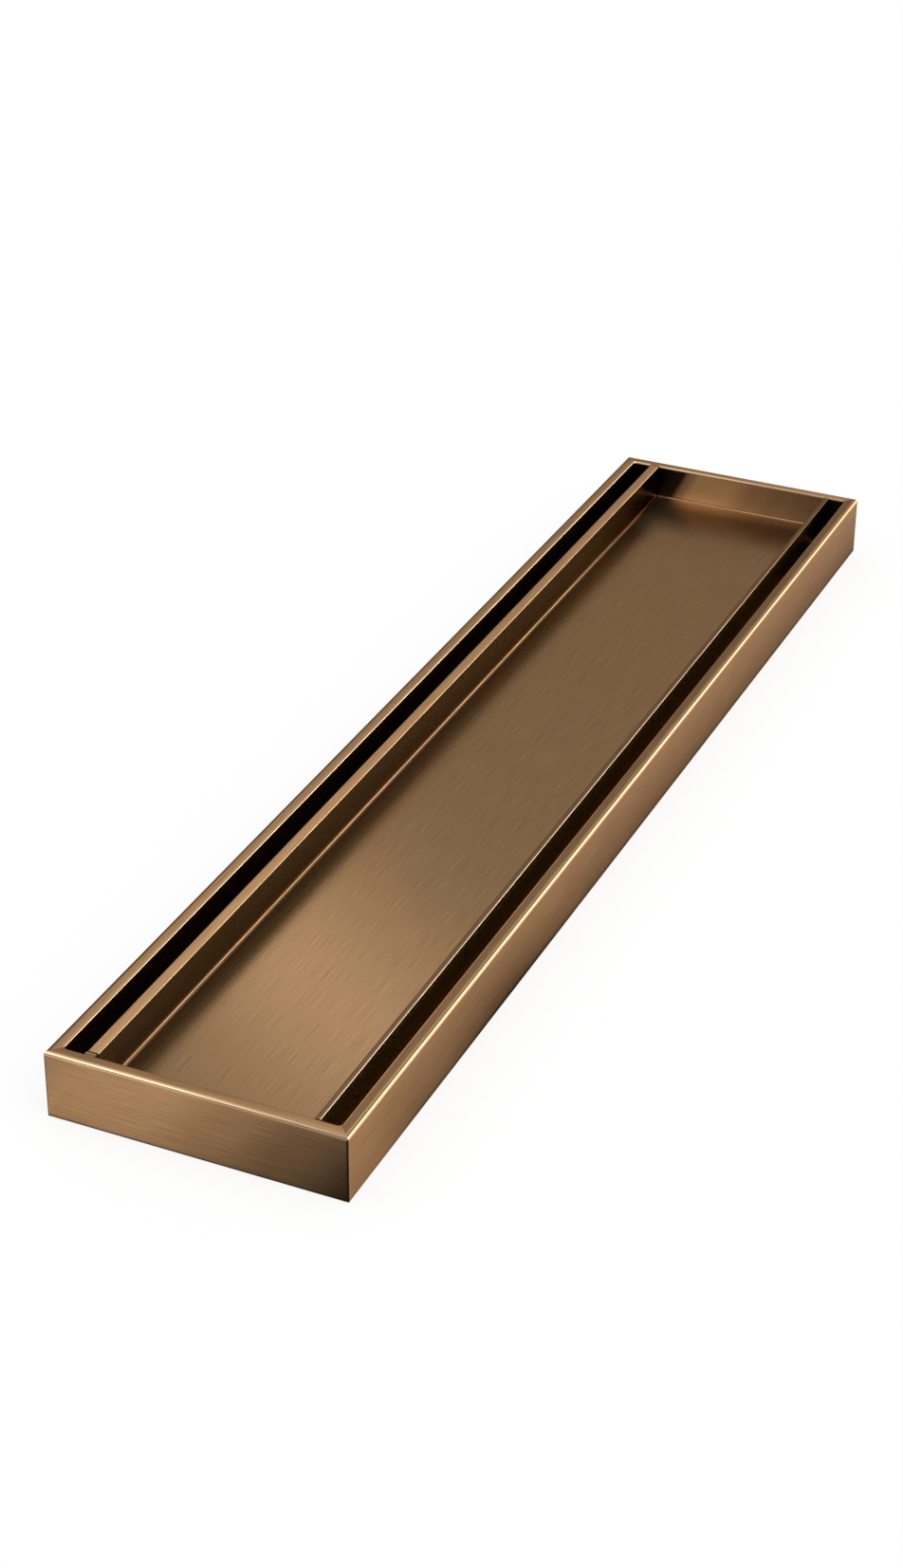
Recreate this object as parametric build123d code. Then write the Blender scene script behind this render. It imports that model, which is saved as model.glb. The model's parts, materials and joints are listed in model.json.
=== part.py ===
from build123d import *
import os

# Linear shower drain with a tile insert, in millimetres.
# The origin is the middle of the underside, Y runs along the channel and Z is up.

# Channel tray: the outer trough
channel_length = 400.0
channel_width = 85.0
channel_height = 20.0
rim_wall = 3.8
tray_floor = 2.0
rim_outer_radius = 1.4
rim_inner_radius = 0.7
outer_edge_radius = 0.6
tray_bend_radius = 1.0
outlet_diameter = 50.0

# Tile insert: one folded sheet, with a closed hem on its left wall
insert_sheet = 1.6
hem_layers = 2
insert_depth = 11.2
left_slot = 6.2
right_slot = 5.5
insert_edge_radius = 0.35
insert_bend_radius = 0.9
lip_height = 0.35
lip_land = 0.3
hem_setback = 0.45

# End stops on the tray, in line with the insert's hem
stop_depth = 0.75
stop_side_clearance = 0.2
end_gap = 0.1

# Rubber feet under the insert
foot_diameter = 12.0
foot_edge_radius = 0.6
foot_end_margin = 30.0
foot_outlet_margin = 30.0
foot_side_margin = 10.0

# Places that follow from the sizes
inner_half_width = channel_width / 2 - rim_wall
inner_half_length = channel_length / 2 - rim_wall
left_wall = hem_layers * insert_sheet
right_wall = insert_sheet
insert_left = -inner_half_width + left_slot
insert_right = inner_half_width - right_slot
insert_half_length = inner_half_length - end_gap
insert_floor_top = channel_height - insert_depth
insert_underside = insert_floor_top - insert_sheet
floor_left = insert_left + left_wall
floor_right = insert_right - right_wall


def span_box(x_span, y_span, z_span):
    """A box between two values on each axis."""
    sizes = [high - low for low, high in (x_span, y_span, z_span)]
    return Pos(x_span[0], y_span[0], z_span[0]) * Box(*sizes, align=Align.MIN)


def end_stops():
    """Upright ribs on both end walls, in line with the insert's hem."""
    root = inner_half_length + rim_inner_radius
    tip = inner_half_length - stop_depth
    x_span = (insert_left, floor_left - stop_side_clearance)
    z_span = (tray_floor, channel_height)
    return [span_box(x_span, y_span, z_span) for y_span in ((-root, -tip), (tip, root))]


def rounded_at(section, height, radius):
    """The section with its corners at one height rounded."""
    corners = section.vertices().filter_by_position(Axis.Y, height, height)
    return fillet(corners, radius)


def outer_section(width):
    """A section through the trough's outer form: soft at the rim, crisper at the base."""
    section = Pos(0, channel_height / 2) * Rectangle(width, channel_height)
    section = rounded_at(section, channel_height, rim_outer_radius)
    return rounded_at(section, 0, outer_edge_radius)


def outer_block():
    """The trough's outer form, with the rim's soft edges mitred at the corners."""
    across = extrude(Plane.XZ * outer_section(channel_width), amount=channel_length / 2, both=True)
    along = extrude(Plane.YZ * outer_section(channel_length), amount=channel_width / 2, both=True)
    plan = RectangleRounded(channel_width, channel_length, outer_edge_radius)
    return across & along & extrude(plan, amount=channel_height)


def channel_tray():
    """The trough: a rounded box with a rounded rim, end stops and an outlet."""
    cavity = span_box(
        (-inner_half_width, inner_half_width),
        (-inner_half_length, inner_half_length),
        (tray_floor, channel_height),
    )
    mouth = cavity.faces().sort_by(Axis.Z)[-1]
    tray = outer_block() - fillet(cavity.edges() - mouth.edges(), tray_bend_radius)

    rim = tray.faces().sort_by(Axis.Z)[-1]
    tray = fillet(rim.inner_wires()[0].edges(), rim_inner_radius)
    for stop in end_stops():
        tray += stop

    outlet = Cylinder(
        outlet_diameter / 2,
        tray_floor,
        align=(Align.CENTER, Align.CENTER, Align.MIN),
    )
    return tray - outlet


def insert_profile():
    """The insert's cross-section: a floor between a hemmed wall and a single one."""
    outline = Polyline(
        (insert_left, channel_height),
        (insert_left, insert_underside),
        (insert_right, insert_underside),
        (insert_right, channel_height),
        (floor_right, channel_height),
        (floor_right, insert_floor_top),
        (floor_left, insert_floor_top),
        (floor_left, channel_height),
        close=True,
    )
    section = make_face(outline)
    section = rounded_at(section, channel_height, insert_edge_radius)
    section = rounded_at(section, insert_floor_top, insert_bend_radius)
    return rounded_at(section, insert_underside, insert_bend_radius + insert_sheet)


def end_lip(end, inward):
    """A low upturn across one end of the insert's floor, coved on its inner side."""
    cove_axis_y = end + inward * (lip_land + lip_height)
    lip = span_box(
        (floor_left, floor_right),
        sorted((end, cove_axis_y)),
        (insert_floor_top, insert_floor_top + lip_height),
    )
    cove = Rot(0, 90, 0) * Cylinder(lip_height, channel_width)
    return lip - Pos(0, cove_axis_y, insert_floor_top + lip_height) * cove


def tile_insert():
    """The folded tray for the tile: floor, two long walls and a lip at each end."""
    insert = extrude(Plane.XZ * insert_profile(), amount=insert_half_length, both=True)
    insert += end_lip(-insert_half_length, 1)
    insert += end_lip(insert_half_length, -1)
    hem_end = insert_half_length - stop_depth
    for y_span in ((-insert_half_length, -hem_end + hem_setback), (hem_end, insert_half_length)):
        insert -= span_box((insert_left, floor_left), y_span, (insert_underside, channel_height))
    return insert


def support_feet():
    """Rubber feet in two rows, from the tray's floor to the insert's underside."""
    height = insert_underside - tray_floor
    foot = Cylinder(
        foot_diameter / 2,
        height,
        align=(Align.CENTER, Align.CENTER, Align.MIN),
    )
    foot = fillet(foot.edges().filter_by(GeomType.CIRCLE), foot_edge_radius)
    end_row = inner_half_length - foot_end_margin
    outlet_row = outlet_diameter / 2 + foot_outlet_margin
    return [
        Pos(x, y, tray_floor) * foot
        for y in (-end_row, -outlet_row, outlet_row, end_row)
        for x in (insert_left + foot_side_margin, insert_right - foot_side_margin)
    ]


pieces = {"channel_tray": channel_tray(), "tile_insert": tile_insert()}
for number, foot in enumerate(support_feet(), start=1):
    pieces[f"support_foot_{number}"] = foot

os.makedirs("parts", exist_ok=True)
for name, piece in pieces.items():
    export_step(piece, f"parts/{name}.step")
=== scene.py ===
import json
import math
from types import SimpleNamespace

import bpy
from mathutils import Matrix, Vector


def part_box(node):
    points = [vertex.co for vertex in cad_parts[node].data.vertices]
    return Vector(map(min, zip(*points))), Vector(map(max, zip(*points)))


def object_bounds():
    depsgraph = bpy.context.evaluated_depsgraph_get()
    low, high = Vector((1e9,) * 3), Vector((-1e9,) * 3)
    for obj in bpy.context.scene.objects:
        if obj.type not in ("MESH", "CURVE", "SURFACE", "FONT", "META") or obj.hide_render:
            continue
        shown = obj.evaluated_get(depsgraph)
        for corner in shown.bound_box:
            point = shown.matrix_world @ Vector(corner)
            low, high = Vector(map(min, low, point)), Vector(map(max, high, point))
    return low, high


# A linear shower drain in brushed bronze, seen as in the photograph. Lengths are in metres. X runs to the
# drain's right, Y along it to the far end, and Z up.

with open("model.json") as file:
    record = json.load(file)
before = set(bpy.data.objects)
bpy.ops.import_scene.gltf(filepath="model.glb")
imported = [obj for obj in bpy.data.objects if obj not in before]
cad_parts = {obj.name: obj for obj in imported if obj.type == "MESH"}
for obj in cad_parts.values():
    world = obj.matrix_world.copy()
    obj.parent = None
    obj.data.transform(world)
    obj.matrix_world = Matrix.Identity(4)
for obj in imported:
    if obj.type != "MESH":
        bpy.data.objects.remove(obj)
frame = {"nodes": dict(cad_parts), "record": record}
cad_low, cad_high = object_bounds()
insert_low, insert_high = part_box("tile_insert")

# Camera, fitted to the drain's edges in the photograph. The lens and the sensor are in millimetres.
camera_eye = Vector((0.30292, -0.72187, 0.45953))
camera_azimuth = math.radians(24.139)
camera_elevation = math.radians(30.330)
camera_roll = math.radians(0.386)
camera_lens = 69.333
camera_sensor = 36.0
camera_clip_end = 100.0

# Floor: it lies just under the drain, and a share of it glows
floor_half_size = 18.0
floor_albedo = (0.94, 0.94, 0.94, 1.0)
floor_glow = 0.82
floor_drop = 0.0001

# Dark disk under the outlet
outlet_segments = 64

# Sky of the studio: elevation in degrees, brightness on the left and on the right of the drain
sky_steps = (
    (-90, 1.0, 1.0),
    (4, 1.0, 1.0),
    (11, 0.34, 0.34),
    (22, 0.42, 0.24),
    (31, 0.52, 0.24),
    (38, 0.58, 0.28),
    (50, 0.90, 0.60),
    (62, 1.10, 1.00),
    (90, 1.20, 1.20),
)

# The left sky turns into the right one between these parts of a direction along X
sky_side_blend = (-0.25, 0.15)

# Soft lamps: heading clockwise from the far end, elevation, full and faded radius in degrees, strength
lamps = (
    (39, 5, 4, 20, 2.4),
    (221, 42, 3, 10, 2.6),
    (200, 5, 7, 20, 0.5),
    (120, 50, 20, 45, 1.4),
)

# Strip lamp behind the drain: its middle and half width along Y, its middle and half length along X, as
# parts of a direction of length 1
strip_along = (0.7365, 0.032)
strip_across = (-0.39, 0.16)
strip_strength = 1.35

# Shade cards on the floor: they stand for the drain's soft shadow in the reflections on its faces. A card
# is tucked in under the drain, reaches out from a face, and may hang over past the ends of that face.
card_lift = 0.00005
card_tuck = 0.0012
card_reach = 0.045
left_card_reach = 0.30
near_card_overhang = 0.0425
right_card_overhang = 0.10
left_card_overhang = 0.20

# Shade on the cards: steps of a place along the face, or of a distance from it, and the shade there
near_shade_across = (
    (-0.062, 0.40),
    (-0.048, 0.12),
    (-0.038, 0.0),
    (-0.022, 0.0),
    (0.0, 0.36),
    (0.02, 0.68),
    (0.045, 0.97),
)
near_shade_outward = ((0.0, 0.95), (0.0004, 0.90), (0.0012, 0.16), (0.010, 0.10), (0.024, 0.0))
right_shade_along = (
    (-0.215, 0.0),
    (-0.19, 0.55),
    (-0.15, 0.95),
    (-0.10, 1.25),
    (-0.05, 1.0),
    (0.20, 0.90),
)
right_shade_outward = (
    (0.0, 0.95),
    (0.0004, 0.90),
    (0.0012, 0.62),
    (0.006, 0.46),
    (0.014, 0.14),
    (0.030, 0.0),
)
far_shade_across = ((-0.045, 1.25), (-0.015, 0.95), (0.012, 0.45), (0.045, 0.75))
far_shade_outward = (
    (0.0, 0.95),
    (0.0004, 0.90),
    (0.0012, 0.62),
    (0.010, 0.50),
    (0.024, 0.22),
    (0.043, 0.0),
)
left_shade_along = ((-0.20, 0.55), (-0.12, 1.0), (-0.03, 0.75), (0.08, 1.15), (0.20, 0.85))
left_shade_outward = far_shade_outward[:-1] + ((0.040, 0.30), (0.070, 0.90), (0.280, 0.90), (0.300, 0.0))

# Walls: the trough's, and the insert's hem on the left and single sheet on the right
rim_wall = 0.0038
hem_wall = 0.0032
sheet_wall = 0.0016

# Places on the drain: the rim reaches a margin further in than its wall, and the tile's bed lies between
# the slots, which begin at the insert's sides
rim_depth = 0.0015
rim_margin = 0.0004
slot_margin = 0.0001
rim_reach = rim_wall + rim_margin
rim_level = cad_high.z - rim_depth
rim_inside = cad_high.x - rim_reach
slot_edge = min(-insert_low.x, insert_high.x) - slot_margin

# Spans along Y over which these come in: the painted shade at the end of the tile's bed, the painted
# highlight on its lip, and the paler near part of the painted highlight on the insert's right edges
bed_end_span = (0.165, 0.186)
far_lip_span = (0.1880, 0.1956)
insert_worn_span = (0.060, -0.130)

# Kinds of surface, told by the normal: a turn is its part to the right or to the far end, and a rise its
# part upwards. A single value is a limit, and a pair is where the kind begins and where it is full.
end_face_turn = 0.5
upright_rise = (0.12, 0.02)
left_turn = (-0.05, -0.25)
left_edge_rise = (0.15, 0.45)
near_corner_turn = (-0.05, -0.25)
near_edge_turn = (-0.20, -0.45)
near_edge_rise = (0.02, 0.12)
top_rise = (0.85, 0.99)
bed_rise = 0.9
bend_rise = (0.05, 0.20)
# Edges where highlights are painted: those that face right or near, and the right rim's outer edge
worn_right_turn = (0.10, 0.40)
worn_right_rise = (0.15, 0.40)
worn_near_turn = (-0.30, -0.60)
worn_near_rise = (0.25, 0.65)
# The right rim's outer edge: where its painted halo begins and where it turns into the painted line
right_rim_turn = (0.10, 0.30)
right_rim_painted_line_turn = (0.50, 0.75)

# Rounded edges, told by the largest of the normal's three parts
rounded_part = (0.985, 0.78)

# Bronze colours: two that the plain metal varies between, a tint on the tile's bed, and the colours of
# painted shade and of painted highlights
bronzes = ((0.405, 0.2285, 0.1090, 1.0), (0.397, 0.2295, 0.1120, 1.0))
no_tint = (1.0, 1.0, 1.0, 1.0)
bed_tint = (0.99, 1.035, 1.09, 1.0)
# Painted shade: on the inner walls, in the left slot, paler in the right slot, and at the bed's far end
inner_wall_painted_shade = (0.150, 0.130, 0.075, 1.0)
left_slot_painted_shade = (0.140, 0.100, 0.050, 1.0)
right_slot_painted_shade = (0.480, 0.380, 0.145, 1.0)
bed_end_painted_shade = (0.328, 0.245, 0.145, 1.0)
# Painted highlights on the far lip, the bends, the lit edges, the right rim's edge and the insert's edge
lip_painted_highlight = (0.740, 0.580, 0.420, 1.0)
bend_painted_highlight = (0.470, 0.295, 0.155, 1.0)
worn_edge = (0.780, 0.540, 0.320, 1.0)
right_rim_painted_halo = (1.000, 0.620, 0.310, 1.0)
right_rim_painted_line = (0.780, 0.455, 0.255, 1.0)
insert_worn_edge = (0.800, 0.640, 0.460, 1.0)
# The metal's own tint of its reflection at grazing angles
bronze_edge_tint = (0.84, 0.67, 0.56, 1.0)

# Bronze gloss
bronze_anisotropy = 0.88
face_roughness = (0.185, 0.215)
top_roughness = 0.36
end_wall_roughness = 0.36
bed_end_roughness = 0.45
edge_roughness = 0.13

# Brush marks: soft clouds, long streaks and fine scratches. A spread is the span of noise that is used.
cloud_size = 0.028
cloud_detail = 2.0
cloud_spread = (0.35, 0.65)
streak_width = 0.00055
streak_length = 0.050
streak_detail = 2.0
streak_spread = (0.25, 0.75)
streak_shine = (0.955, 1.045)
streak_roughness_spread = (0.3, 0.7)
scratch_width = 0.00022
scratch_length = 0.013
scratch_detail = 0.0
scratch_depth = 0.000004
scratch_bump = 0.3
bright_scratches = (0.54, 0.72)
dark_scratches = (0.46, 0.28)
scratch_shine = 0.145
bed_scratch_shine = 0.12
inner_scratch_shine = 0.03

# Tops of the long walls, on the left and on the right: width, and the tones of painted light and shade at
# their left and right edges
rim_tops = ((rim_wall, 0.95, 1.75), (rim_wall, 0.75, 1.08))
insert_tops = ((hem_wall, 1.60, 2.15), (sheet_wall, 0.58, 0.85))

# Tones of painted light and shade on the rim's end strips, from left to right and from their near to
# their far edge
end_top_tones = (0.70, 1.20)
end_top_slope = (1.25, 0.80)

# Tones of painted shade and light on the trough's far wall from left to right, on both end walls upwards,
# and a factor of painted light on each wall. The far wall's tones shift to the right above a level, by a
# share of the height.
far_wall_tones = (
    (-0.030, 0.03),
    (-0.0225, 0.08),
    (-0.0195, 0.95),
    (-0.016, 1.50),
    (-0.006, 1.36),
    (0.006, 0.78),
    (0.014, 0.62),
    (0.030, 0.46),
)
end_wall_rise = ((0.008, 1.28), (0.0095, 1.18), (0.011, 1.08), (0.014, 0.97), (0.020, 0.88))
far_wall_level = 0.014
far_wall_slant = 0.50
far_wall_painted_light = 1.30
near_wall_painted_light = 1.05

# Tones of painted shade and light on the inner sides of the long walls: darker towards the far end beside
# the tile's bed and in the slots, and lighter upwards
side_wall_tones = ((0.140, 1.0), (0.163, 0.68), (0.176, 0.34), (0.186, 0.22), (0.197, 0.40))
slot_tones = ((0.174, 1.0), (0.184, 0.30), (0.197, 0.20))
side_wall_rise = ((0.008, 0.88), (0.012, 1.0), (0.017, 1.36), (0.020, 1.45))

# Painted shade along the far end of the tile's bed
bed_end_tones = (
    (0.150, 1.0),
    (0.165, 0.92),
    (0.176, 0.78),
    (0.184, 0.72),
    (0.190, 0.88),
    (0.194, 0.95),
    (0.197, 1.0),
)

# Tones of the edges: painted shade on those that face left, a painted highlight on the right rim's inner
# edge that fades towards the far end, painted shade that grows from left to right on the edges that face
# near, and painted shade that grows towards the far end on the insert's painted highlight on its right
# edges
left_edge_painted_shade = 0.25
right_rim_inner_painted_highlight = ((-0.190, 2.4), (-0.090, 1.9), (0.0, 1.4), (0.150, 1.1))
near_edge_painted_shade = ((-0.0425, 1.0), (-0.008, 1.0), (0.012, 0.74), (0.0425, 0.60))
insert_edge_painted_shade = ((0.090, 1.0), (0.140, 0.66), (0.170, 0.36), (0.195, 0.30))

# Rubber of the feet: two greys and a fine moulded grain
rubber_greys = ((0.018, 0.018, 0.018, 1.0), (0.045, 0.044, 0.042, 1.0))
rubber_grain_scale = 1800.0
rubber_grain_detail = 3.0
rubber_grain_depth = 0.0001
rubber_bump = 0.3
rubber_spread = (0.3, 0.7)
rubber_roughness = (0.6, 0.85)


# Helpers for node trees


def add_node(tree, kind, inputs=(), **settings):
    """A node with its settings, and with values or links on its inputs."""
    node = tree.nodes.new(kind)
    for name, value in settings.items():
        setattr(node, name, value)
    for name, value in dict(inputs).items():
        if isinstance(value, bpy.types.NodeSocket):
            tree.links.new(value, node.inputs[name])
        else:
            node.inputs[name].default_value = value
    return node


def first_output(tree, kind, inputs=(), **settings):
    """The first output of a new node."""
    return add_node(tree, kind, inputs, **settings).outputs[0]


def math_node(tree, operation, *values):
    """The result of a Math node on one or two values."""
    return first_output(tree, "ShaderNodeMath", enumerate(values), operation=operation)


def vector_node(tree, operation, *values):
    """The vector that a Vector Math node gives from its vectors."""
    return first_output(tree, "ShaderNodeVectorMath", enumerate(values), operation=operation)


def split(tree, vector):
    """The X, Y and Z of a vector."""
    return add_node(tree, "ShaderNodeSeparateXYZ", {"Vector": vector}).outputs


def joined(tree, x, y, z):
    """A vector from its X, Y and Z."""
    return first_output(tree, "ShaderNodeCombineXYZ", {"X": x, "Y": y, "Z": z})


def remapped(tree, value, low, high, new_low, new_high, blend="LINEAR"):
    """A value taken from one range to another, and kept inside it."""
    inputs = {"Value": value, "From Min": low, "From Max": high, "To Min": new_low, "To Max": new_high}
    return first_output(tree, "ShaderNodeMapRange", inputs, clamp=True, interpolation_type=blend)


def progress(tree, value, span):
    """0 where a value is at the start of a span, 1 at the end of it."""
    return remapped(tree, value, *span, 0.0, 1.0)


def beyond(tree, value, limit):
    """1 where a value is above a limit."""
    return math_node(tree, "GREATER_THAN", value, limit)


def within(tree, value, limit):
    """1 where a value is nearer to zero than a limit."""
    return math_node(tree, "LESS_THAN", math_node(tree, "ABSOLUTE", value), limit)


def one_minus(tree, value):
    """What a value leaves of 1."""
    return math_node(tree, "SUBTRACT", 1.0, value)


def product(tree, *values):
    """The product of several values."""
    total = values[0]
    for value in values[1:]:
        total = math_node(tree, "MULTIPLY", total, value)
    return total


def mixed(tree, share, first, second):
    """A value between two others. A Mix node takes values on its sockets 2 and 3."""
    return first_output(tree, "ShaderNodeMix", {0: share, 2: first, 3: second}, data_type="FLOAT")


def colour_mixed(tree, share, first, second):
    """A colour between two others. A Mix node takes colours on its sockets 6 and 7."""
    return add_node(tree, "ShaderNodeMix", {0: share, 6: first, 7: second}, data_type="RGBA").outputs[2]


def shader_mixed(tree, share, first, second):
    """A shader between two others."""
    return first_output(tree, "ShaderNodeMixShader", {0: share, 1: first, 2: second})


def layered(tree, mix, base, layers):
    """A value or colour with layers over it, each of them a mask and what shows there."""
    for mask, layer in layers:
        base = mix(tree, mask, base, layer)
    return base


def grey_ramp(tree, position, stops):
    """Brightness by a position from 0 to 1, blended smoothly between stops of position and brightness."""
    ramp = add_node(tree, "ShaderNodeValToRGB", {"Fac": position})
    ramp.color_ramp.interpolation = "EASE"
    elements = ramp.color_ramp.elements
    while len(elements) < len(stops):
        elements.new(1.0)
    for element, (place, grey) in zip(elements, stops):
        element.position = place
        element.color = (grey, grey, grey, 1.0)
    return ramp.outputs["Color"]


def shade_ramp(tree, distance, steps):
    """Shade or tone by distance, blended smoothly between steps of distance and shade."""
    low, high = steps[0][0], steps[-1][0]
    stops = [((place - low) / (high - low), shade) for place, shade in steps]
    return grey_ramp(tree, progress(tree, distance, (low, high)), stops)


def noise(tree, place, scale, detail):
    """Soft noise from 0 to 1."""
    return first_output(tree, "ShaderNodeTexNoise", {"Vector": place, "Scale": scale, "Detail": detail})


def bumped(tree, strength, depth, height):
    """The normal on a surface with a relief."""
    inputs = {"Strength": strength, "Distance": depth, "Height": height}
    return first_output(tree, "ShaderNodeBump", inputs)


def new_material(name):
    """A material with an empty node tree."""
    material = bpy.data.materials.new(name)
    material.use_nodes = True
    material.node_tree.nodes.clear()
    return material


def finished(material, shader):
    """A material with a shader for its surface."""
    add_node(material.node_tree, "ShaderNodeOutputMaterial", {"Surface": shader})
    return material


# Bronze: where a point of the metal lies, and masks from 0 to 1 for what it lies on


def cross_grain(tree, spot):
    """1 where the brushing runs across the drain: on end faces and on the rim's end strips."""
    end_face = beyond(tree, math_node(tree, "ABSOLUTE", spot.farward), end_face_turn)
    from_side = math_node(tree, "SUBTRACT", cad_high.x, math_node(tree, "ABSOLUTE", spot.x))
    from_end = math_node(tree, "SUBTRACT", cad_high.y, math_node(tree, "ABSOLUTE", spot.y))
    in_mitre = math_node(tree, "LESS_THAN", from_end, math_node(tree, "MINIMUM", from_side, rim_reach))
    return math_node(tree, "MAXIMUM", end_face, product(tree, in_mitre, spot.on_rim))


def lit_edges(tree, spot):
    """1 on the rounded edges that face up and right, or up and near, where highlights are painted."""
    right_turn = progress(tree, spot.rightward, worn_right_turn)
    right = product(tree, right_turn, progress(tree, spot.upward, worn_right_rise))
    near_turn = progress(tree, spot.farward, worn_near_turn)
    near = product(tree, near_turn, progress(tree, spot.upward, worn_near_rise))
    return math_node(tree, "MAXIMUM", right, near)


def rounded_edge(tree, spot):
    """1 on rounded edges, where the normal lies along no axis, and less towards the flat faces."""
    x, y, z = split(tree, vector_node(tree, "ABSOLUTE", spot.normal))
    largest = math_node(tree, "MAXIMUM", math_node(tree, "MAXIMUM", x, y), z)
    return progress(tree, largest, rounded_part)


def mark_walls(tree, spot, recess):
    """Adds the masks of upright faces and of the inner walls, which lie within a recess."""
    spot.upright = progress(tree, math_node(tree, "ABSOLUTE", spot.upward), upright_rise)
    in_recess = product(tree, within(tree, spot.x, recess.x), within(tree, spot.y, recess.y))
    spot.inside = product(tree, in_recess, spot.upright)
    spot.end_wall = product(tree, spot.inside, spot.across, spot.between_slots)
    spot.side_wall = math_node(tree, "SUBTRACT", spot.inside, spot.end_wall)


def mark_edges(tree, spot):
    """Adds the masks of the tops and of the edges."""
    leftward = progress(tree, spot.rightward, left_turn)
    left_top = product(tree, spot.on_rim, leftward, progress(tree, spot.upward, left_edge_rise))
    left_corner = product(tree, spot.upright, leftward, progress(tree, spot.farward, near_corner_turn))
    spot.left_edge = math_node(tree, "MAXIMUM", left_top, left_corner)
    nearward = progress(tree, spot.farward, near_edge_turn)
    spot.near_edge = product(tree, spot.on_rim, nearward, progress(tree, spot.upward, near_edge_rise))
    flat = progress(tree, spot.upward, top_rise)
    spot.top = product(tree, spot.on_rim, flat, one_minus(tree, spot.left_edge))
    # Masks for painted highlights: the lit edges, the right rim's outer edge and the insert's right edges
    spot.worn = product(tree, spot.on_rim, lit_edges(tree, spot))
    rightward = progress(tree, spot.rightward, right_rim_turn)
    spot.right_rim_edge = product(tree, spot.worn, spot.on_right_rim, rightward)
    within_rim = within(tree, spot.x, rim_inside)
    spot.insert_edge = product(tree, spot.worn, spot.lengthwise, spot.on_right, within_rim)


def mark_bed(tree, spot):
    """Adds the masks of level faces below the rim, of the bends beside them and of the bed's far end."""
    below_rim = one_minus(tree, spot.on_rim)
    spot.bed = product(tree, below_rim, beyond(tree, spot.upward, bed_rise))
    bed_and_bend = product(tree, below_rim, progress(tree, spot.upward, bend_rise))
    spot.bend = math_node(tree, "SUBTRACT", bed_and_bend, spot.bed)
    spot.bed_end = product(tree, spot.bed, progress(tree, spot.y, bed_end_span))
    spot.far_lip = product(tree, spot.bed, progress(tree, spot.y, far_lip_span))


def bronze_spot(tree, recess):
    """The place, the normal and all the masks of a point of the metal."""
    spot = SimpleNamespace()
    spot.place = add_node(tree, "ShaderNodeTexCoord").outputs["Object"]
    spot.normal = add_node(tree, "ShaderNodeNewGeometry").outputs["Normal"]
    spot.x, spot.y, spot.z = split(tree, spot.place)
    spot.rightward, spot.farward, spot.upward = split(tree, spot.normal)
    spot.on_rim = beyond(tree, spot.z, rim_level)
    spot.on_right = beyond(tree, spot.x, 0.0)
    spot.on_right_rim = beyond(tree, spot.x, rim_inside)
    spot.at_far = beyond(tree, spot.y, 0.0)
    spot.between_slots = within(tree, spot.x, slot_edge)
    spot.across = cross_grain(tree, spot)
    spot.lengthwise = one_minus(tree, spot.across)
    mark_walls(tree, spot, recess)
    mark_edges(tree, spot)
    mark_bed(tree, spot)
    return spot


# Bronze: its painted light and shade by place, its colour, its brush marks and its gloss


def wall_top_tone(tree, spot, box, tops):
    """Painted light and shade across the tops of the two long walls that stand at the sides of a box."""
    (left_width, *left_tones), (right_width, *right_tones) = tops
    low, high = box
    left = remapped(tree, spot.x, low.x, low.x + left_width, *left_tones)
    right = remapped(tree, spot.x, high.x - right_width, high.x, *right_tones)
    return mixed(tree, spot.on_right, left, right)


def end_top_tone(tree, spot):
    """The painted light and shade on the rim's end strips."""
    near = remapped(tree, spot.y, cad_low.y, cad_low.y + rim_reach, *end_top_slope)
    far = remapped(tree, spot.y, cad_high.y - rim_reach, cad_high.y, *end_top_slope)
    sideways = remapped(tree, spot.x, cad_low.x, cad_high.x, *end_top_tones)
    return product(tree, mixed(tree, spot.at_far, near, far), sideways)


def end_wall_tone(tree, spot):
    """The painted shade and light on the trough's end walls."""
    shift = product(tree, math_node(tree, "SUBTRACT", spot.z, far_wall_level), far_wall_slant)
    sideways = shade_ramp(tree, math_node(tree, "SUBTRACT", spot.x, shift), far_wall_tones)
    far_tone = product(tree, sideways, far_wall_painted_light)
    tone = mixed(tree, spot.at_far, near_wall_painted_light, far_tone)
    return product(tree, tone, shade_ramp(tree, spot.z, end_wall_rise))


def side_wall_tone(tree, spot):
    """The painted shade and light on the inner sides of the long walls."""
    in_slot = shade_ramp(tree, spot.y, slot_tones)
    beside_bed = shade_ramp(tree, spot.y, side_wall_tones)
    tone = mixed(tree, spot.between_slots, in_slot, beside_bed)
    return product(tree, tone, shade_ramp(tree, spot.z, side_wall_rise))


def bronze_tone(tree, spot, box, tops):
    """A factor of painted light and shade on the metal's colour, by place."""
    # Painted light and shade: on tops, edges, end walls and inner walls, and at the bed's far end
    top_tone = mixed(tree, spot.across, wall_top_tone(tree, spot, box, tops), end_top_tone(tree, spot))
    right_rim_tone = shade_ramp(tree, spot.y, right_rim_inner_painted_highlight)
    layers = (
        (spot.top, top_tone),
        (spot.left_edge, mixed(tree, spot.on_right_rim, left_edge_painted_shade, right_rim_tone)),
        (spot.insert_edge, shade_ramp(tree, spot.y, insert_edge_painted_shade)),
        (spot.near_edge, shade_ramp(tree, spot.x, near_edge_painted_shade)),
        (spot.end_wall, end_wall_tone(tree, spot)),
        (spot.side_wall, side_wall_tone(tree, spot)),
        (spot.bed, shade_ramp(tree, spot.y, bed_end_tones)),
    )
    return layered(tree, mixed, 1.0, layers)


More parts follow.
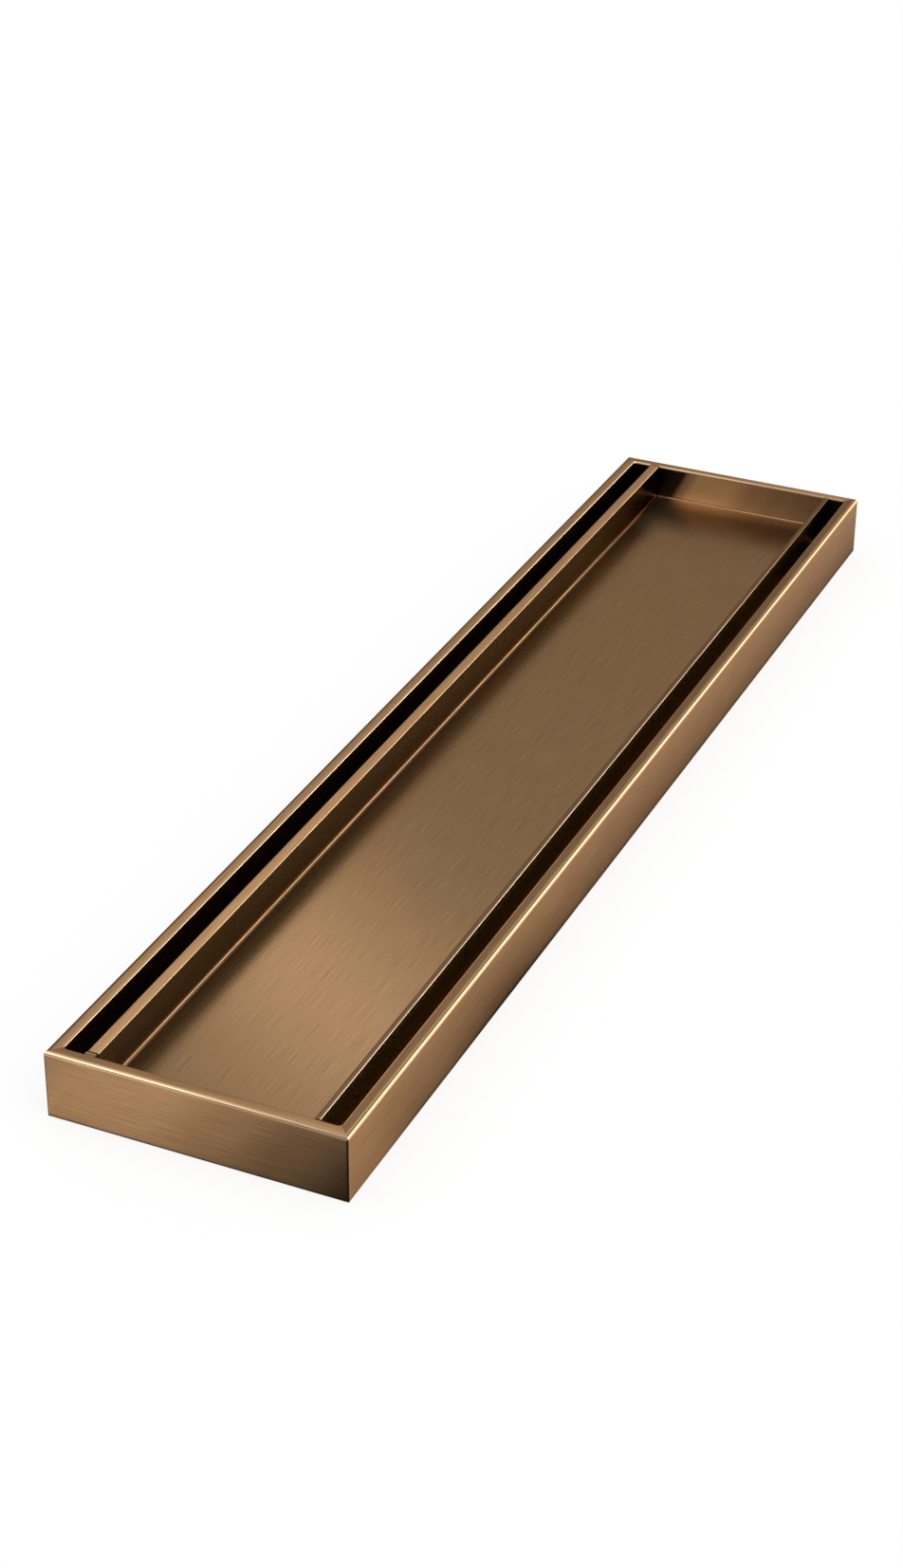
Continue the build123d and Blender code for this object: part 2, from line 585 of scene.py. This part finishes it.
def bronze_colour_with_painted_light(tree, spot):
    """The metal's colour before the tones, with painted shade inside and painted highlights on edges."""
    clouds = noise(tree, spot.place, 1 / cloud_size, cloud_detail)
    plain = colour_mixed(tree, progress(tree, clouds, cloud_spread), *bronzes)
    tinted = math_node(tree, "MAXIMUM", spot.bed, spot.end_wall)
    base_colour = vector_node(tree, "MULTIPLY", plain, colour_mixed(tree, tinted, no_tint, bed_tint))
    slot_painted_shade = colour_mixed(tree, spot.on_right, left_slot_painted_shade, right_slot_painted_shade)
    side_painted_shade = colour_mixed(tree, spot.between_slots, slot_painted_shade, inner_wall_painted_shade)
    line = progress(tree, spot.rightward, right_rim_painted_line_turn)
    # Painted shade at the bed's far end and on the inner walls, painted highlights on bends, lip and edges
    layers = (
        (spot.bend, bend_painted_highlight),
        (spot.bed_end, bed_end_painted_shade),
        (spot.far_lip, lip_painted_highlight),
        (spot.side_wall, side_painted_shade),
        (spot.worn, worn_edge),
        (spot.right_rim_edge, colour_mixed(tree, line, right_rim_painted_halo, right_rim_painted_line)),
        (product(tree, spot.insert_edge, progress(tree, spot.y, insert_worn_span)), insert_worn_edge),
    )
    return layered(tree, colour_mixed, base_colour, layers)


def streaks(tree, spot, width, length, detail):
    """Noise drawn out along the brushing."""
    along = mixed(tree, spot.across, spot.y, spot.x)
    beside = mixed(tree, spot.across, spot.x, spot.y)
    scale = (1 / width, 1 / length, 1 / width)
    stretched = vector_node(tree, "MULTIPLY", joined(tree, beside, along, spot.z), scale)
    return noise(tree, stretched, 1.0, detail)


def hairlines(tree, scratch):
    """Fine lines from scratch noise: 1 on bright ones, -1 on dark ones and 0 on plain metal between."""
    bright = progress(tree, scratch, bright_scratches)
    dark = progress(tree, scratch, dark_scratches)
    return math_node(tree, "SUBTRACT", bright, dark)


def bronze_shine(tree, spot, streak, scratch):
    """A factor on the metal's colour, from its brush marks."""
    layers = ((spot.bed, bed_scratch_shine), (spot.inside, inner_scratch_shine))
    contrast = layered(tree, mixed, scratch_shine, layers)
    lines = product(tree, hairlines(tree, scratch), contrast)
    return math_node(tree, "ADD", remapped(tree, streak, *streak_spread, *streak_shine), lines)


def bronze_roughness(tree, spot, streak):
    """How matt the metal is, by place."""
    layers = (
        (spot.end_wall, end_wall_roughness),
        (spot.bed_end, bed_end_roughness),
        (spot.top, top_roughness),
        (rounded_edge(tree, spot), edge_roughness),
    )
    plain = remapped(tree, streak, *streak_roughness_spread, *face_roughness)
    return layered(tree, mixed, plain, layers)


def brushed_bronze(name, box, recess, tops):
    """Bronze-coloured metal, brushed along each face, for the piece that fills a box."""
    material = new_material(name)
    tree = material.node_tree
    spot = bronze_spot(tree, recess)
    streak = streaks(tree, spot, streak_width, streak_length, streak_detail)
    scratch = streaks(tree, spot, scratch_width, scratch_length, scratch_detail)
    factor = product(tree, bronze_shine(tree, spot, streak, scratch), bronze_tone(tree, spot, box, tops))
    brushing = joined(tree, spot.across, spot.lengthwise, 0.0)
    inputs = {
        "Base Color": vector_node(tree, "MULTIPLY", bronze_colour_with_painted_light(tree, spot), factor),
        "Metallic": 1.0,
        "Roughness": bronze_roughness(tree, spot, streak),
        "Specular Tint": bronze_edge_tint,
        "Anisotropic": bronze_anisotropy,
        "Tangent": vector_node(tree, "CROSS_PRODUCT", spot.normal, brushing),
        "Normal": bumped(tree, scratch_bump, scratch_depth, scratch),
    }
    return finished(material, first_output(tree, "ShaderNodeBsdfPrincipled", inputs))


# Rubber, and the finish of each node


def foot_rubber():
    """Matte black rubber with a fine moulded grain."""
    material = new_material("foot_rubber_moulded")
    tree = material.node_tree
    place = add_node(tree, "ShaderNodeTexCoord").outputs["Object"]
    grain = noise(tree, place, rubber_grain_scale, rubber_grain_detail)
    inputs = {
        "Base Color": colour_mixed(tree, grain, *rubber_greys),
        "Roughness": remapped(tree, grain, *rubber_spread, *rubber_roughness),
        "Normal": bumped(tree, rubber_bump, rubber_grain_depth, grain),
    }
    return finished(material, first_output(tree, "ShaderNodeBsdfPrincipled", inputs))


def dress_nodes():
    """Gives each node of the frame its finish. All upright faces of the insert count as inner walls."""
    inset = rim_wall - rim_margin
    tray_recess = Vector((cad_high.x - inset, cad_high.y - inset))
    tray = brushed_bronze("tray_bronze", (cad_low, cad_high), tray_recess, rim_tops)
    insert = brushed_bronze("insert_bronze", (insert_low, insert_high), cad_high, insert_tops)
    rubber = foot_rubber()
    for name, node in frame["nodes"].items():
        finish = {"channel_tray": tray, "tile_insert": insert}.get(name, rubber)
        for material_slot in node.material_slots:
            material_slot.material = finish


# Stage: the floor, the disk under the outlet and the shade cards


def stage_sheet(name, points, faces, material):
    """A flat piece of the stage."""
    mesh = bpy.data.meshes.new(name)
    mesh.from_pydata(points, [], faces)
    mesh.materials.append(material)
    sheet = bpy.data.objects.new(name, mesh)
    bpy.context.scene.collection.objects.link(sheet)
    return sheet


def darkness(tree):
    """A shader that gives no light."""
    return first_output(tree, "ShaderNodeEmission", {"Strength": 0.0})


def clearness(tree):
    """A shader that lets everything through."""
    return first_output(tree, "ShaderNodeBsdfTransparent")


def floor_material():
    """White floor: a share of it glows for the camera and for reflections, the rest takes the shadow."""
    material = new_material("floor_white")
    tree = material.node_tree
    path = add_node(tree, "ShaderNodeLightPath").outputs
    seen = math_node(tree, "ADD", path["Is Camera Ray"], path["Is Glossy Ray"])
    paint = first_output(tree, "ShaderNodeBsdfDiffuse", {"Color": floor_albedo})
    glow = first_output(tree, "ShaderNodeEmission", {"Strength": 1.0})
    return finished(material, shader_mixed(tree, product(tree, seen, floor_glow), paint, glow))


def make_floor():
    """The pale floor that the drain stands on, open under the drain so that its underside is lit."""
    halves = ((floor_half_size, floor_half_size), (cad_high.x - card_tuck, cad_high.y - card_tuck))
    corners = ((-1, -1), (1, -1), (1, 1), (-1, 1))
    points = [(x * half_x, y * half_y, -floor_drop) for half_x, half_y in halves for x, y in corners]
    # Points 0 to 3 are the outer corners, and points 4 to 7 the inner ones
    sides = [(side, (side + 1) % 4, (side + 1) % 4 + 4, side + 4) for side in range(4)]
    stage_sheet("floor", points, sides, floor_material())


def make_outlet_shade():
    """The dark of the waste pipe under the outlet: clear from below, so that the outlet shows there."""
    material = new_material("outlet_shade")
    tree = material.node_tree
    from_below = add_node(tree, "ShaderNodeNewGeometry").outputs["Backfacing"]
    finished(material, shader_mixed(tree, from_below, darkness(tree), clearness(tree)))
    outlet = next(mount for mount in frame["record"]["mounts"] if mount["name"] == "outlet")
    radius = outlet["dims"]["r_mm"] / 1000 + card_tuck
    turns = [2 * math.pi * step / outlet_segments for step in range(outlet_segments)]
    points = [(radius * math.cos(turn), radius * math.sin(turn), -floor_drop) for turn in turns]
    stage_sheet("outlet_shade", points, [range(outlet_segments)], material)


def make_shade_card(name, x_span, y_span, shade_at):
    """A card on the floor, seen in reflections alone, with the shade that shade_at gives from X and Y."""
    (left, right), (near, far) = x_span, y_span
    corners = [(x, y, card_lift) for x, y in ((left, near), (right, near), (right, far), (left, far))]
    material = new_material(name)
    tree = material.node_tree
    x, y, _ = split(tree, add_node(tree, "ShaderNodeTexCoord").outputs["Object"])
    finished(material, shader_mixed(tree, shade_at(tree, x, y), clearness(tree), darkness(tree)))
    card = stage_sheet(name, corners, [range(4)], material)
    card.visible_camera = False
    card.visible_diffuse = False
    card.visible_transmission = False
    card.visible_volume_scatter = False
    card.visible_shadow = False


def near_shade(tree, x, y):
    """Shade in front of the near face: it grows to the right, past the left corner and to the foot."""
    across = shade_ramp(tree, x, near_shade_across)
    outward = shade_ramp(tree, math_node(tree, "SUBTRACT", cad_low.y, y), near_shade_outward)
    outward = product(tree, outward, progress(tree, x, (cad_low.x - card_tuck, cad_low.x)))
    light = product(tree, one_minus(tree, across), one_minus(tree, outward))
    return one_minus(tree, light)


def foot_shade(tree, along, along_steps, outward, outward_steps):
    """Shade beside a face: it grows towards the face's foot and changes along the face."""
    shade = product(tree, shade_ramp(tree, along, along_steps), shade_ramp(tree, outward, outward_steps))
    return math_node(tree, "MINIMUM", shade, 1.0)


def right_shade(tree, x, y):
    """Shade beside the right face."""
    outward = math_node(tree, "SUBTRACT", x, cad_high.x)
    return foot_shade(tree, y, right_shade_along, outward, right_shade_outward)


def left_shade(tree, x, y):
    """Shade beside the left face."""
    outward = math_node(tree, "SUBTRACT", cad_low.x, x)
    return foot_shade(tree, y, left_shade_along, outward, left_shade_outward)


def far_shade(tree, x, y):
    """Shade behind the far face."""
    outward = math_node(tree, "SUBTRACT", y, cad_high.y)
    return foot_shade(tree, x, far_shade_across, outward, far_shade_outward)


def make_shade_cards():
    """The shade on the floor beside each face."""
    left, right, near, far = cad_low.x, cad_high.x, cad_low.y, cad_high.y
    make_shade_card(
        "near_shade_card",
        (left - near_card_overhang, right + near_card_overhang),
        (near - card_reach, near + card_tuck),
        near_shade,
    )
    make_shade_card(
        "right_shade_card",
        (right - card_tuck, right + card_reach),
        (near, far + right_card_overhang),
        right_shade,
    )
    make_shade_card(
        "left_shade_card",
        (left - left_card_reach, left + card_tuck),
        (near + card_tuck, far + left_card_overhang),
        left_shade,
    )
    make_shade_card(
        "far_shade_card",
        (left + card_tuck, right - card_tuck),
        (far - card_tuck, far + card_reach),
        far_shade,
    )


# Light and camera


def world_lamp(tree, direction, heading, elevation, core, edge, strength):
    """A soft round lamp far away."""
    turn, rise = math.radians(heading), math.radians(elevation)
    axis = (math.sin(turn) * math.cos(rise), math.cos(turn) * math.cos(rise), math.sin(rise))
    dot = add_node(tree, "ShaderNodeVectorMath", {0: direction, 1: axis}, operation="DOT_PRODUCT")
    faded, full = math.cos(math.radians(edge)), math.cos(math.radians(core))
    return remapped(tree, dot.outputs["Value"], faded, full, 0.0, strength, "SMOOTHSTEP")


def strip_lamp(tree, x, y):
    """A soft strip of light that lies across the drain, far behind it."""
    parts = []
    for value, (middle, reach) in ((y, strip_along), (x, strip_across)):
        offset = math_node(tree, "ABSOLUTE", math_node(tree, "SUBTRACT", value, middle))
        parts.append(remapped(tree, offset, reach, 0.0, 0.0, 1.0, "SMOOTHSTEP"))
    return product(tree, *parts, strip_strength)


def sky_ramp(tree, height, elevations, greys):
    """The sky's brightness by height, on one side of the drain."""
    places = [(1 + math.sin(math.radians(elevation))) / 2 for elevation in elevations]
    return grey_ramp(tree, height, list(zip(places, greys)))


def make_world():
    """Soft studio light all round."""
    world = bpy.data.worlds.new("studio")
    bpy.context.scene.world = world
    world.use_nodes = True
    tree = world.node_tree
    tree.nodes.clear()
    direction = add_node(tree, "ShaderNodeTexCoord").outputs["Generated"]
    x, y, z = split(tree, direction)
    height = progress(tree, z, (-1.0, 1.0))
    elevations, left_greys, right_greys = zip(*sky_steps)
    left_sky = sky_ramp(tree, height, elevations, left_greys)
    right_sky = sky_ramp(tree, height, elevations, right_greys)
    light = colour_mixed(tree, progress(tree, x, sky_side_blend), left_sky, right_sky)
    for lamp in lamps:
        light = vector_node(tree, "ADD", light, world_lamp(tree, direction, *lamp))
    light = vector_node(tree, "ADD", light, strip_lamp(tree, x, y))
    background = first_output(tree, "ShaderNodeBackground", {"Color": light, "Strength": 1.0})
    add_node(tree, "ShaderNodeOutputWorld", {"Surface": background})


def make_camera():
    """The camera, where the photograph was taken from."""
    camera = bpy.data.objects.new("camera", bpy.data.cameras.new("camera"))
    camera.data.lens = camera_lens
    camera.data.sensor_width = camera_sensor
    camera.data.clip_end = camera_clip_end
    aim = Matrix.Rotation(camera_azimuth, 4, "Z") @ Matrix.Rotation(math.pi / 2 - camera_elevation, 4, "X")
    camera.matrix_world = Matrix.Translation(camera_eye) @ aim @ Matrix.Rotation(camera_roll, 4, "Z")
    bpy.context.scene.collection.objects.link(camera)
    bpy.context.scene.camera = camera


dress_nodes()
make_floor()
make_outlet_shade()
make_shade_cards()
make_world()
make_camera()
bpy.context.scene.view_settings.view_transform = "Standard"
